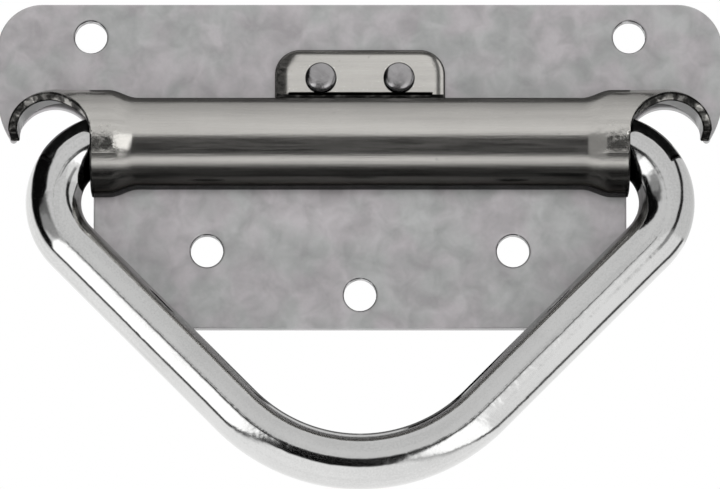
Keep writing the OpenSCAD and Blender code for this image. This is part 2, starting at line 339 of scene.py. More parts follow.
def build_plate(s, rivets, materials):
    """The plate: its outline and holes carried from front to back over rounded edges, both faces filled.

    The first material is the plate's skin and the second the punched walls of its holes.
    """
    front, back = -s.thickness, 0.0
    burr = np.array(((0, back - BURR), (BURR, back)))
    edge = np.vstack((quarter(s.rolled_edge, 5) + (0, front), burr))
    mouth = np.vstack((quarter(s.mouth, 7) + (0, front), burr))
    seat = np.array(((0, front), (0, -TAIL_DEPTH), ((rivets.tail - rivets.shank) / 2, back)))
    patches = [wall_patch(plate_outline(s)[::-1], edge)]
    slots = [np.zeros(len(patches[0][1]))]
    for x, z in HOLES:
        patches.append(wall_patch(arc(x, z, s.hole / 2, 0, -360, 65)[:-1], mouth))
        slots.append(np.repeat((0, 0, 0, 1, 1, 1, 1, 1), 64))
    for x in (rivets.pitch / 2, -rivets.pitch / 2):
        circle = arc(x, rivets.height, rivets.shank / 2 + RIVET_GAP, 0, -360, 33)[:-1]
        patches.append(wall_patch(circle, seat))
        slots.append(np.ones(64))
    return new_piece("back_plate_blank", patches, materials, caps=(front, back), slots=np.concatenate(slots))


def ring_path(s):
    """The bar's middle line and its unit normals: straight, shoulder arc, leg and half the crown, mirrored.

    The legs slope at 45 degrees. The crown's radius R meets them smoothly at the ring's reach:
    R (1 - cos 45) = bend_x sin 45 + shoulder (1 + cos 45) - drop cos 45.
    """
    slope, drop = math.sqrt(0.5), s.reach - s.bar / 2
    crown_r = (s.bend_x * slope + s.shoulder * (1 + slope) - drop * slope) / (1 - slope)
    leg_length = (s.bend_x - (crown_r - s.shoulder) * slope) / slope
    straight = np.column_stack((np.linspace(s.butt / 2, s.bend_x, 9), np.zeros(9)))
    shoulder = arc(s.bend_x, -s.shoulder, s.shoulder, 90, -45, 55)
    leg = shoulder[-1] + np.linspace(0, leg_length, 15)[:, None] * (-slope, -slope)
    crown = arc(0, crown_r - drop, crown_r, -45, -90, 33)
    normal = np.vstack((
        np.tile((0.0, 1.0), (9, 1)),
        (shoulder - (s.bend_x, -s.shoulder)) / s.shoulder,
        np.tile((slope, -slope), (15, 1)),
        (crown - (0, crown_r - drop)) / crown_r,
    ))
    line = np.vstack((straight, shoulder, leg, crown))
    keep = np.r_[True, np.linalg.norm(np.diff(line, axis=0), axis=1) > 1e-8]
    line, normal = line[keep], normal[keep]
    return [np.vstack((half, half[-2::-1] * (-1, 1))) for half in (line, normal)]


def build_ring(s, material):
    """The ring: a circle of the bar's radius carried along its middle line, with rounded butt ends."""
    line, normal = ring_path(s)
    turn = np.linspace(math.pi / 2, 0, 5)[:-1]
    tip = np.column_stack((s.butt / 2 + s.ease * (1 - np.sin(turn)), np.zeros(4)))
    shrink = s.bar / 2 - s.ease + s.ease * np.cos(turn)
    first = np.array(((s.butt / 2 + s.ease, 0.0),))
    line = np.vstack((tip, first, line[1:-1], first * (-1, 1), tip[::-1] * (-1, 1)))
    flat = np.tile((0.0, 1.0), (len(tip) + 1, 1))
    normal = np.vstack((flat, normal[1:-1], flat))
    radius = np.full((len(line), 1), s.bar / 2)
    radius[:len(tip), 0] = shrink
    radius[-len(tip):, 0] = shrink[::-1]
    run = np.r_[0, np.cumsum(np.linalg.norm(np.diff(line, axis=0), axis=1))]
    around = np.linspace(0, 2 * math.pi, s.sides + 1)
    out = radius * np.cos(around)
    y = s.hinge_y + radius * np.sin(around)
    points = np.stack((line[:, :1] + out * normal[:, :1], y, line[:, 1:] + out * normal[:, 1:]), -1)
    uv = np.stack(np.broadcast_arrays(run[:, None], around[None] * s.bar / 2), -1).reshape(-1, 2)
    return new_piece("bar_ring", [(points, grid_faces(*out.shape))], [material], uv=uv)


def channel_profile(s):
    """Half of the channel's profile as (x, radius): straight, then a rise of (1 - cos pi t) / 2."""
    t = np.linspace(0, 1, 25)[1:]
    straight = np.column_stack((np.linspace(0, s.flare_start, 12), np.full(12, s.channel)))
    flare = np.column_stack((
        s.flare_start + (s.flare_end - s.flare_start) * t,
        s.channel + (s.collar - s.channel) * (1 - np.cos(math.pi * t)) / 2,
    ))
    return np.vstack((straight, flare))


def section_rows(hinge_y, plate_y):
    """Rows round the section as (angle, y of a wall or nan): upper wall, both quarters, lower wall."""
    walls = np.linspace(plate_y, hinge_y, 5)[:-1]
    turn = np.linspace(0, math.pi, 2 * QUARTER_ROWS + 1)
    angle = np.concatenate((np.zeros(4), turn, np.full(4, math.pi)))
    return angle, np.concatenate((walls, np.full(len(turn), np.nan), walls[::-1]))


def tube_patch(profile, rows, hinge_y):
    """A profile of (x, radius) turned round the hinge line, with straight walls back to the plate.

    y = hinge - radius sin(angle), z = radius cos(angle).
    """
    angle, wall = rows
    x = np.broadcast_to(profile[:, :1], (len(profile), len(angle)))
    y = hinge_y - profile[:, 1:] * np.sin(angle)
    z = profile[:, 1:] * np.cos(angle)
    return np.stack((x, np.where(np.isnan(wall), y, wall), z), -1), grid_faces(*x.shape)


def hood_patch(s, rows, hinge_y):
    """The upper quarter of a collar run on as a hood.

    Each row keeps its share q of the way from the roof to the front rim. Up to the collar's
    end the rows follow the collar's round. From there the rim climbs an ellipse, and the
    section turns smoothly from the collar's round into a roof that drops by q squared.
    Past the rim's top every row goes down a quarter ellipse to the hood's side, and a lip ends it.
    """
    angle, wall = rows
    q = angle / (math.pi / 2)
    roof_x, rim_half, lip_drop = s.hood_out - s.collar, s.hood_crest - s.collar_end, 0.4 * MM
    crest = roof_x + (s.hood_crest - roof_x) * q
    flat = np.linspace(s.flare_end, s.collar_end, 5)[:, None] + 0 * q
    swing = np.linspace(0, math.pi / 2, 25)[1:, None]
    x = np.vstack((flat, crest - (crest - s.collar_end) * np.cos(swing)))
    climb = np.sqrt(np.clip(1 - ((s.hood_crest - x) / rim_half) ** 2, 0, 1))
    height = np.where(x > s.collar_end, s.hood_rim * climb, 0)
    reach = np.arccos(np.clip(height / s.collar, 0, 1)) * q
    blend = np.clip((x - s.collar_end) / (crest - s.collar_end), 0, 1)
    blend = blend * blend * (3 - 2 * blend)
    y_round, z_round = hinge_y - s.collar * np.sin(reach), s.collar * np.cos(reach)
    y_roof, z_roof = hinge_y - s.hood_reach * q, s.collar - (s.collar - height) * q ** 2
    y = y_round + (y_roof - y_round) * blend
    z = z_round + (z_roof - z_round) * blend
    x = np.vstack((x, crest + (s.hood_out - crest) * np.sin(swing), s.hood_out + 0 * q[None]))
    z = np.vstack((z, s.lip + (z[-1] - s.lip) * np.cos(swing), s.lip - lip_drop + 0 * q[None]))
    y = np.vstack((y, np.repeat(y[-1:], 25, 0)))
    return np.stack((x, np.where(np.isnan(wall), y, wall), z), -1), grid_faces(*x.shape)


def build_channel(s, hinge_y, plate_y, materials):
    """The retainer's sheet: channel, flares, collars and hoods as one surface, then its gauge inwards.

    The materials are its bright outside, its cut edges, its dull inside, darkened further as painted shade,
    and the burr along its edges, near black as painted shade along the edges.
    """
    half = channel_profile(s)
    whole = np.vstack((half[:0:-1] * (-1, 1), half))
    end = np.column_stack((np.linspace(s.flare_end, s.collar_end, 5), np.full(5, s.collar)))
    angle, wall = section_rows(hinge_y, plate_y)
    front = QUARTER_ROWS + 4
    patches = [tube_patch(whole, (angle, wall), hinge_y)]
    low = tube_patch(end, (angle[front:], wall[front:]), hinge_y)
    high = hood_patch(s, (angle[:front + 1], wall[:front + 1]), hinge_y)
    for points, faces in (low, high):
        patches += [(points, faces), (points * (-1, 1, 1), faces[:, ::-1])]
    patches = [(points, faces[:, ::-1]) for points, faces in patches]
    piece = new_piece("formed_retainer", patches, materials, closed=False)
    gauge = piece.modifiers.new("gauge", "SOLIDIFY")
    gauge.material_offset_rim, gauge.material_offset = 1, 2
    gauge.thickness, gauge.offset, gauge.use_even_offset = s.gauge, -1, True
    ease = piece.modifiers.new("eased_rims", "BEVEL")
    ease.width, ease.segments, ease.material, ease.use_clamp_overlap = s.ease, 3, 3, False
    ease.limit_method, ease.angle_limit = "ANGLE", math.radians(50)
    weigh_normals(piece)
    return piece


def build_tab(s, plate_y, materials):
    """The riveted tab: a rolled edge carried up one side, round both corners and down the other.

    A flat face fills it, and a quarter-round hollow joins its foot to the channel. The first
    material is the face's and the second the hollow's, near black as painted shade in the crease.
    """
    half, corner, bend_r, wall = s.tab_width / 2, s.tab_corner, s.tab_bend, 0.2 * MM
    face_y, foot_z, low_z = plate_y - s.gauge, s.channel + 1.25 * MM, s.channel - 0.6 * MM
    side = np.linspace(s.tab_top - corner, foot_z, 7)[1:]
    right = np.vstack((
        arc(half - corner, s.tab_top - corner, corner, 90, 0, 15),
        np.column_stack((np.full(6, half), side)),
        ((half, low_z),),
    ))
    inward = np.vstack((-arc(0, 0, 1, 90, 0, 15), np.tile((-1.0, 0.0), (7, 1))))
    loop, inward = (np.vstack((part[::-1] * (-1, 1), part)) for part in (right, inward))
    turn = np.linspace(0, math.pi / 2, 9)
    rolled = (s.tab_roll * (1 - np.cos(turn)), plate_y - wall - (s.gauge - wall) * np.sin(turn))
    edge = carried(loop, inward, np.vstack(((0, plate_y), np.transpose(rolled))))
    flat = edge[-1, 1:-1]
    bend = np.linspace(0, math.pi / 2, 8)
    hollow_y = np.r_[face_y - bend_r * (1 - np.cos(bend)), face_y - bend_r]
    hollow_z = np.r_[foot_z - bend_r * np.sin(bend), low_z]
    across = np.array((s.ease - half, half - s.ease))
    hollow = np.stack(np.broadcast_arrays(across[:, None], hollow_y, hollow_z), -1)
    patches = [(edge, grid_faces(*edge.shape[:2])), (flat, [np.arange(len(flat))])]
    patches.append((hollow, grid_faces(2, len(bend) + 1)))
    for cheek, x in zip(hollow, across):
        patches.append((np.vstack((cheek, (x, face_y, low_z))), [np.arange(len(cheek) + 1)]))
    slots = np.repeat((0, 1), (len(patches[0][1]) + 1, len(bend) + 2))
    piece = new_piece("riveted_tab", patches, materials, slots=slots)
    weigh_normals(piece)
    return piece


def build_rivets(s, face_y, material):
    """Two rivets: a profile of (radius, y) turned about its own axis, with a low head, shank and set tail.

    The head's height over its rim is the dome times the root of 1 - (radius / head) ** 4.
    """
    head, tail, rim_y = s.head / 2, s.tail / 2, face_y - s.rim
    share = np.sin(np.linspace(0, math.pi / 2, 25)[:-1])
    cap = np.column_stack((head * share, rim_y - s.dome * np.sqrt(1 - share ** 4)))
    rest = np.array((
        (head, rim_y), (head, face_y - BURR), (head - BURR, face_y - 0.01 * MM),
        (s.shank / 2, face_y), (s.shank / 2, -TAIL_DEPTH),
        (tail - 0.05 * MM, -0.05 * MM), (tail - BURR, 0), (tail - 0.3 * MM, 0), (0, 0),
    ))
    profile = np.vstack((cap, rest))
    around = np.linspace(0, 2 * math.pi, 65)
    out = profile[:, :1]
    patches = []
    for x in (-s.pitch / 2, s.pitch / 2):
        points = (x + out * np.cos(around), profile[:, 1:] + 0 * around, s.height + out * np.sin(around))
        patches.append((np.stack(points, -1), grid_faces(len(profile), 65)))
    piece = new_piece("domed_rivets", patches, [material])
    weigh_normals(piece)
    return piece


# Shader tools


def node(tree, kind):
    """A new shader node."""
    return tree.nodes.new("ShaderNode" + kind)


def feed(tree, socket, value):
    """Sets a socket to a number or a colour, or links it to another socket."""
    if isinstance(value, (int, float)):
        socket.default_value = value
    elif isinstance(value, tuple):
        socket.default_value = (*value, 1)
    else:
        tree.links.new(value, socket)


def new_group(name, outputs, inputs=("Vector", "Scale")):
    """An empty node group with a vector, a scale and named values to put out; gives it and both ends."""
    tree = bpy.data.node_groups.new(name, "ShaderNodeTree")
    for title in inputs:
        kind = "NodeSocketFloat" if title == "Scale" else "NodeSocketVector"
        tree.interface.new_socket(title, in_out="INPUT", socket_type=kind)
    for title in outputs:
        tree.interface.new_socket(title, in_out="OUTPUT", socket_type="NodeSocketFloat")
    return tree, tree.nodes.new("NodeGroupInput").outputs, tree.nodes.new("NodeGroupOutput").inputs


def placed(tree, build, vector, **values):
    """Places a node group, built once, with its vector and its values; gives its outputs."""
    made = node(tree, "Group")
    made.node_tree = bpy.data.node_groups.get(build.__name__) or build(build.__name__)
    tree.links.new(vector, made.inputs["Vector"])
    for key, value in values.items():
        made.inputs[key].default_value = value
    return made.outputs


def maths(tree, operation, *values, clamp=False):
    """One maths node on sockets or numbers; gives its output socket."""
    made = node(tree, "Math")
    made.operation, made.use_clamp = operation, clamp
    for slot, value in enumerate(values):
        feed(tree, made.inputs[slot], value)
    return made.outputs[0]


def sloped(tree, value, slope, base):
    """The value times a slope, plus a base."""
    return maths(tree, "MULTIPLY_ADD", value, slope, base)


def times(tree, first, *others):
    """The product of two or more values."""
    for other in others:
        first = maths(tree, "MULTIPLY", first, other)
    return first


def rise(tree, value, start, end):
    """(value - start) / (end - start), held between 0 and 1."""
    slope = 1 / (end - start)
    return maths(tree, "MULTIPLY_ADD", value, slope, -start * slope, clamp=True)


def axes(tree, place):
    """The three coordinates of a place."""
    split = node(tree, "SeparateXYZ")
    tree.links.new(place, split.inputs[0])
    return split.outputs


def noise(tree, *values):
    """A noise by vector, scale, detail, roughness and distortion; gives its value socket."""
    made = node(tree, "TexNoise")
    for title, value in zip(("Vector", "Scale", "Detail", "Roughness", "Distortion"), values):
        feed(tree, made.inputs[title], value)
    return made.outputs["Fac"]


def ramp(tree, factor, *stops):
    """A colour ramp through (place, value or colour); gives its colour socket."""
    made = node(tree, "ValToRGB")
    band = made.color_ramp
    while len(band.elements) < len(stops):
        band.elements.new(0.5)
    for element, (place, value) in zip(band.elements, stops):
        element.position = place
        element.color = (*((value,) * 3 if isinstance(value, (int, float)) else value), 1)
    tree.links.new(factor, made.inputs[0])
    return made.outputs[0]


def mix(tree, factor, first, second, blend="MIX"):
    """Mixes two colours by a factor; gives the result socket."""
    made = node(tree, "Mix")
    made.data_type, made.blend_type = "RGBA", blend
    for slot, value in ((0, factor), (6, first), (7, second)):
        feed(tree, made.inputs[slot], value)
    return made.outputs[2]


def shaded(tree, colour, factor, *stops, share=1.0):
    """The colour multiplied by a ramp of shades, in part or in full."""
    return mix(tree, share, colour, ramp(tree, factor, *stops), "MULTIPLY")


def mirrored(tree, colour, reflection_shade_share=1.0, seen=(0.0, 0.0, 0.0)):
    """The colour, turned towards seen by a share where other pieces reflect it: painted shade in reflections.
    """
    ray = node(tree, "LightPath").outputs["Is Glossy Ray"]
    return mix(tree, times(tree, ray, reflection_shade_share), colour, seen)


def bumped(tree, *values):
    """A bump by height, strength, distance and the normal that it lies on; gives its normal socket."""
    made = node(tree, "Bump")
    for title, value in zip(("Height", "Strength", "Distance", "Normal"), values):
        feed(tree, made.inputs[title], value)
    return made.outputs[0]


def scaled(tint, factor):
    """A colour times a factor, or times one factor for each channel."""
    return tuple(np.minimum(np.multiply(tint, factor), 1.0).tolist())


def new_material(name):
    """A material, its node tree and its Object coordinates."""
    material = bpy.data.materials.new(name)
    material.use_nodes = True
    tree = material.node_tree
    return material, tree, node(tree, "TexCoord").outputs["Object"]


def finish(material, *values):
    """Feeds colour, metal, roughness, normal and a sheen's tint to the shader; gives the material."""
    shader = material.node_tree.nodes["Principled BSDF"].inputs
    titles = ("Base Color", "Metallic", "Roughness", "Normal", "Specular Tint")
    for title, value in zip(titles, values):
        feed(material.node_tree, shader[title], value)
    return material


# Finishes


def zinc_clouds(name):
    """Soft patches at two sizes: the bloom of hot-dipped zinc."""
    tree, start, end = new_group(name, ("Patch", "Fine", "Hue"))
    vector, scale = start["Vector"], start["Scale"]
    moved = node(tree, "VectorMath")
    moved.operation = "ADD"
    tree.links.new(vector, moved.inputs[0])
    moved.inputs[1].default_value = (3.1, 1.7, 5.3)
    feed(tree, end["Patch"], noise(tree, vector, scale, 2.0, 0.55, 0.4))
    feed(tree, end["Fine"], noise(tree, vector, times(tree, scale, 7.0), 4.0, 0.6))
    feed(tree, end["Hue"], noise(tree, moved.outputs[0], times(tree, scale, 0.6), 1.0, 0.5, 0.3))
    return tree


def drawn_grain(name):
    """Fine lines and broader streaks, drawn along one direction of the given vector."""
    tree, start, end = new_group(name, ("Line", "Streak"), ("Vector", "Stretch", "Scale"))
    drawn = node(tree, "VectorMath")
    drawn.operation = "MULTIPLY"
    tree.links.new(start["Vector"], drawn.inputs[0])
    tree.links.new(start["Stretch"], drawn.inputs[1])
    feed(tree, end["Line"], noise(tree, drawn.outputs[0], start["Scale"], 5.0, 0.65))
    feed(tree, end["Streak"], noise(tree, drawn.outputs[0], times(tree, start["Scale"], 0.25), 2.0, 0.5))
    return tree


def handling_wear(name):
    """Handling marks: smudges, dull specks and shallow dents."""
    tree, start, end = new_group(name, ("Smudge", "Speck", "Dent"))
    vector, scale = start["Vector"], start["Scale"]
    speck = noise(tree, vector, times(tree, scale, 1500.0), 2.0, 0.5)
    feed(tree, end["Smudge"], noise(tree, vector, times(tree, scale, 90.0), 4.0, 0.6, 0.8))
    feed(tree, end["Speck"], maths(tree, "GREATER_THAN", speck, 0.71))
    feed(tree, end["Dent"], noise(tree, vector, times(tree, scale, 330.0), 2.0, 0.5, 0.3))
    return tree


def galvanised(s, collar_end):
    """Hot-dipped zinc: warm and cool patches, painted lighter under the channel against its shade, a satin
    sheen, a fine skin.
    """
    material, tree, place = new_material("galvanised_zinc")
    x, y, z = axes(tree, place)
    cloud = placed(tree, zinc_clouds, place, Scale=250.0)
    cool, warm = scaled(s.tint, (0.98, 1.0, 0.98)), scaled(s.tint, (1.05, 1.015, 1.025))
    colour = ramp(tree, cloud["Hue"], (0.38, cool), (0.62, warm))
    colour = shaded(tree, colour, cloud["Patch"], (0.3, 0.82), (0.5, 0.98), (0.7, 1.15))
    colour = shaded(tree, colour, cloud["Fine"], (0.3, 0.95), (0.7, 1.05), share=0.5)
    # Painted light: in front of the plate and under the hinge line, the zinc is lifted to 1.22 times from 9
    # mm under the hinge line up, fading out by 20 mm under it, against the shade under the channel.
    before = times(tree, maths(tree, "LESS_THAN", z, 0.0), maths(tree, "LESS_THAN", y, -1 * MM))
    painted_light_under_channel = times(tree, rise(tree, z, -20 * MM, -8.89 * MM), before)
    colour = shaded(tree, colour, painted_light_under_channel, (0.0, 1.0), (1.0, 1.22))
    # Painted shade in reflections: other pieces see the plate darkened by 0.92 within the collars' width from
    # 4 mm under the hinge line up, and by 0.2 elsewhere.
    reflection_shade_zone = maths(tree, "LESS_THAN", maths(tree, "ABSOLUTE", x), collar_end + 0.5 * MM)
    reflection_shade_zone = times(tree, reflection_shade_zone, maths(tree, "GREATER_THAN", z, -4 * MM))
    colour = mirrored(tree, colour, sloped(tree, reflection_shade_zone, 0.72, 0.2))
    rough = sloped(tree, cloud["Patch"], 0.25, 0.36)
    skin = bumped(tree, cloud["Fine"], 0.12, 0.12 * MM)
    skin = bumped(tree, placed(tree, handling_wear, place, Scale=1.0)["Dent"], 0.10, 0.4 * MM, skin)
    return finish(material, colour, 0.55, rough, skin)


def bright_sheet(s, name="bright_sheet", gain=1.0, rough_floor=0.06, rough_span=0.16):
    """Bright plating on rolled sheet: lines drawn along the channel, forming marks at the flares, smudges.

    Its colour and its edge sheen are darker from 5 to 6 mm under the hinge line down: painted shade on the
    lower side. The forming marks are strongest in a band along the hinge line.
    """
    material, tree, place = new_material(name)
    x, _, z = axes(tree, place)
    grain = placed(tree, drawn_grain, place, Stretch=(0.035, 1.0, 1.0), Scale=2600.0)
    wear = placed(tree, handling_wear, place, Scale=1.0)
    # Painted shade: below 6 mm under the hinge line the colour falls to a quarter and the edge sheen to an
    # eighth.
    under = rise(tree, z, -6 * MM, -4.89 * MM)
    far = maths(tree, "ABSOLUTE", x)
    level = maths(tree, "ABSOLUTE", maths(tree, "ADD", z, 0.2 * MM))
    band = sloped(tree, rise(tree, level, 3 * MM, 2.17 * MM), 0.85, 0.15)
    formed = times(tree, rise(tree, far, s.flare_start + 0.9 * MM, s.flare_start + 4.23 * MM), band)
    peel = noise(tree, place, 900.0, 3.0, 0.65)
    colour = shaded(tree, scaled(s.tint, gain), grain["Streak"], (0.3, 0.93), (0.7, 1.05))
    colour = shaded(tree, colour, wear["Smudge"], (0.35, 1.0), (0.75, 0.93), share=0.8)
    colour = mix(tree, times(tree, wear["Speck"], 0.25), colour, (0.2, 0.19, 0.18))
    colour = shaded(tree, colour, under, (0.0, 0.25), (1.0, 1.0))
    # Painted shade in reflections: other pieces see the sheet near black from 2 mm over the hinge line up,
    # and grey from 3 mm under it down.
    low = rise(tree, z, -3 * MM, 2 * MM)
    colour = mirrored(tree, colour, seen=mix(tree, low, (0.45, 0.44, 0.42), (0.07, 0.07, 0.07)))
    rough = sloped(tree, grain["Line"], rough_span, rough_floor)
    rough = sloped(tree, wear["Smudge"], 0.03, rough)
    blotch = maths(tree, "SUBTRACT", peel, 0.46, clamp=True)
    rough = sloped(tree, blotch, formed, rough)
    lines = bumped(tree, grain["Line"], 0.4, 0.04 * MM)
    dents = times(tree, sloped(tree, peel, 0.35, wear["Dent"]), formed)
    lines = bumped(tree, dents, 0.4, 0.5 * MM, lines)
    metallic = ramp(tree, grain["Line"], (0.4, 0.91), (0.62, 1.0))
    return finish(material, colour, metallic, rough, lines, ramp(tree, under, (0.0, 0.12), (1.0, 1.0)))


def bright_bar(s):
    """Bright plating on drawn bar: faint lines along the bar, slight waves and handling marks."""
    material, tree, place = new_material("bright_bar")
    wrap = node(tree, "UVMap")
    wrap.uv_map = "wrap"
    grain = placed(tree, drawn_grain, wrap.outputs[0], Stretch=(0.05, 1.0, 1.0), Scale=2200.0)
    wear = placed(tree, handling_wear, place, Scale=1.0)
    streak = sloped(tree, noise(tree, place, 2600.0, 2.0, 0.7), 0.8, grain["Streak"])
    colour = shaded(tree, tuple(s.tint), streak, (0.7, 0.93), (1.0, 1.04))
    colour = shaded(tree, colour, wear["Smudge"], (0.4, 1.0), (0.8, 0.92), share=0.7)
    colour = mix(tree, times(tree, wear["Speck"], 0.08), colour, (0.22, 0.21, 0.21))
    rough = sloped(tree, wear["Smudge"], 0.10, 0.05)
    wave = bumped(tree, wear["Dent"], 0.12, 0.3 * MM)
    wave = bumped(tree, grain["Line"], 0.06, 0.01 * MM, wave)
    # Painted shade in reflections: other pieces see the bar darkened by 0.8.
    return finish(material, mirrored(tree, colour, 0.8), 1.0, rough, wave)


def rivet_steel(s):
    """Plain rivet steel: darker, with the marks of the setting tool."""
    material, tree, place = new_material("rivet_steel")
    wear = placed(tree, handling_wear, place, Scale=3.0)
    colour = shaded(tree, tuple(s.tint), wear["Smudge"], (0.3, 1.08), (0.7, 0.86))
    rough = sloped(tree, wear["Smudge"], 0.14, 0.16)
    skin = bumped(tree, wear["Dent"], 0.2, 0.2 * MM)
    # Painted shade in reflections: other pieces see the rivets darkened by 0.7.
    return finish(material, mirrored(tree, colour, 0.7), 1.0, rough, skin)


def raw_edge(name, tint, scale, relief, open_from=None):
    """Cut or pressed steel that no polish reached: a dull, uneven skin with torn streaks.

    Further out than open_from the skin is frosted and pale, as the hoods are inside.
    """
    material, tree, place = new_material(name)
    wear, metallic = placed(tree, handling_wear, place, Scale=scale), 0.9
    colour = shaded(tree, tint, wear["Dent"], (0.38, 0.10), (0.52, 0.4), (0.63, 2.0))
    if open_from is not None:
        far = maths(tree, "ABSOLUTE", axes(tree, place)[0])
        outside = rise(tree, far, open_from, open_from + 1.11 * MM)
        colour = mix(tree, outside, colour, ramp(tree, wear["Smudge"], (0.3, 0.86), (0.7, 0.74)))
        metallic = ramp(tree, outside, (0.0, 0.9), (1.0, 0.1))
    rough = sloped(tree, wear["Smudge"], 0.2, 0.22)
    skin = bumped(tree, wear["Dent"], relief, 0.6 * MM)
    # Painted shade in reflections: other pieces see these surfaces darkened by 0.98.
    return finish(material, mirrored(tree, colour, 0.98), metallic, rough, skin)


# Studio


def soft_step(value, edge, width):
    """0 below the edge and 1 above it, eased over the width: 3t squared less 2t cubed."""
    t = np.clip((value - edge) / width + 0.5, 0, 1)
    return t * t * (3 - 2 * t)


def between(value, start, end, width):
    """1 between two edges and 0 beyond them, eased over the width at both."""
    return soft_step(value, start, width) * (1 - soft_step(value, end, width))


def studio_light(u, v):
    """How bright the studio is where a surface that turns to (u, v) from the part's own front shows it.

    A softbox fills it, and STUDIO_CARDS are laid over it in turn. Each reaches from its inner to its
    outer radius between its first and last corner. Turns run from 90 degrees (up) on to 450.
    """
    r, turn = np.hypot(u, v), (np.degrees(np.arctan2(v, u)) - 90) % 360 + 90
    light = np.full(u.shape, 0.82)
    for level, soft, *corners in STUDIO_CARDS:
        at, inner, outer = np.transpose(corners)
        card = between(r, np.interp(turn, at, inner), np.interp(turn, at, outer), soft)
        light += (level - light) * card * between(turn, at[0], at[-1], 1.5)
    return light


def sheet_light(u, v):
    """How bright the studio is where the formed sheet shows it, at (u, v) on a polished ball.

    Down the middle it follows SHEET_STUDIO: floor, reflector, dark room, softbox and
    its fading top. To the right of the middle, which the left flare turns to, the dark room
    opens on a white card, and to the left on a grey wall.
    """
    light = np.interp(v, *np.transpose(SHEET_STUDIO))
    room = soft_step(v, -0.30, 0.06) * (1 - soft_step(v, 0.16, 0.05))
    card = soft_step(u, 0.19 + 0.5 * (0.12 - v), 0.14) * (1 - soft_step(u, 0.6, 0.2))
    light += (1.5 - light) * room * card
    light += (0.3 - light) * room * (1 - soft_step(u, -0.22, 0.12))
    return light


def tab_light(u, v):
    """How bright the studio is where the riveted tab shows it, at (u, v) on a polished ball.

    A softbox in front, the dark room to the left, a dark line over the brow, and to the right a
    pale wall between two dark posts.
    """
    light = np.full(u.shape, 0.74)
    light += (0.01 - light) * (1 - soft_step(u, -0.09, 0.05)) * soft_step(v, -0.11, 0.06)
    light += (0.08 - light) * (between(u, 0.24, 0.44, 0.06) + soft_step(u, 0.86, 0.05))
    light += (0.04 - light) * soft_step(v, 0.52, 0.1)
    return light


def sight(elevation):
    """The direction back to a viewer at the elevation, and the one that is up to them."""
    cos, sin = math.cos(elevation), math.sin(elevation)
    return np.array((0, -cos, sin)), np.array((0, sin, cos))


def glow_material(name, through):
    """Emission by the mesh's glow colours. Where through is true, rays of other pieces pass."""
    material = bpy.data.materials.new(name)
    material.use_nodes = True
    material.cycles.emission_sampling = "NONE"
    tree = material.node_tree
    tree.nodes.clear()
    read, lamp = node(tree, "Attribute"), node(tree, "Emission")
    read.attribute_name = "glow"
    tree.links.new(read.outputs["Color"], lamp.inputs["Color"])
    glow = lamp.outputs[0]
    if through:
        both = node(tree, "AddShader")
        tree.links.new(glow, both.inputs[0])
        tree.links.new(node(tree, "BsdfTransparent").outputs[0], both.inputs[1])
        glow = both.outputs[0]
    tree.links.new(glow, node(tree, "OutputMaterial").inputs["Surface"])
    return material


def build_tent(name, radius, elevation, front, layout, receivers, through):
    """The studio as metal pieces see it: a closed tent that only the reflections of its receivers see.

    Its grid is laid out on a polished ball, round the direction at the elevation of front: the
    normal at (polar, angle) sends the camera's line of sight back along twice the normal's part
    of it, less the line itself. The rays of other pieces pass through it where through is true.
    """
    rows, columns = 181, 361
    polar = np.linspace(0, math.pi / 2 + abs(elevation - front), rows)[:, None]
    angle = np.linspace(0, 2 * math.pi, columns)[None]
    share = np.sin(np.minimum(polar, math.pi / 2))
    value = layout(share * np.cos(angle), share * np.sin(angle)).ravel()
    ahead, over = sight(front)
    back = sight(elevation)[0]
    out = (np.sin(polar) * np.cos(angle), np.sin(polar) * np.sin(angle), np.cos(polar) + 0 * angle)
    normal = np.stack(out, -1) @ ((1, 0, 0), over, ahead)
    facing = np.maximum(normal @ back, 0)[..., None]
    points = radius * (2 * facing * normal - back)
    tent = new_mesh(name, points, grid_faces(rows, columns).tolist(), [glow_material(name, through)])
    glow = tent.data.color_attributes.new("glow", "FLOAT_COLOR", "POINT")
    shades = np.column_stack((value, value, value, np.ones_like(value)))
    glow.data.foreach_set("color", shades.astype(np.float32).ravel())
    tent.visible_camera = tent.visible_diffuse = tent.visible_shadow = tent.visible_transmission = False
    lit = bpy.data.collections.new(name + "_receivers")
    for receiver in receivers:
        lit.objects.link(bpy.data.objects[receiver])
    tent.light_linking.receiver_collection = lit
    return tent


def build_floor(z, tint):
    """A wide pale floor under the part. Its underside lets the camera through."""
    x, y = np.meshgrid(np.linspace(-2, 2, 5), np.linspace(-2, 2, 5), indexing="ij")
    material = bpy.data.materials.new("pale_floor")
    material.use_nodes = True
    tree = material.node_tree
    shader, both = tree.nodes["Principled BSDF"], node(tree, "MixShader")
    shader.inputs["Base Color"].default_value = (*tint, 1)
    shader.inputs["Roughness"].default_value = 0.8
    shader.inputs["Specular IOR Level"].default_value = 0.1
    tree.links.new(node(tree, "NewGeometry").outputs["Backfacing"], both.inputs[0])
    tree.links.new(shader.outputs[0], both.inputs[1])
    tree.links.new(node(tree, "BsdfTransparent").outputs[0], both.inputs[2])
    tree.links.new(both.outputs[0], tree.nodes["Material Output"].inputs["Surface"])
    points = np.stack((x, y, np.full_like(x, z)), -1)
    floor = new_mesh("studio_floor", points, grid_faces(5, 5).tolist(), [material])
    floor.visible_glossy = False
    return floor


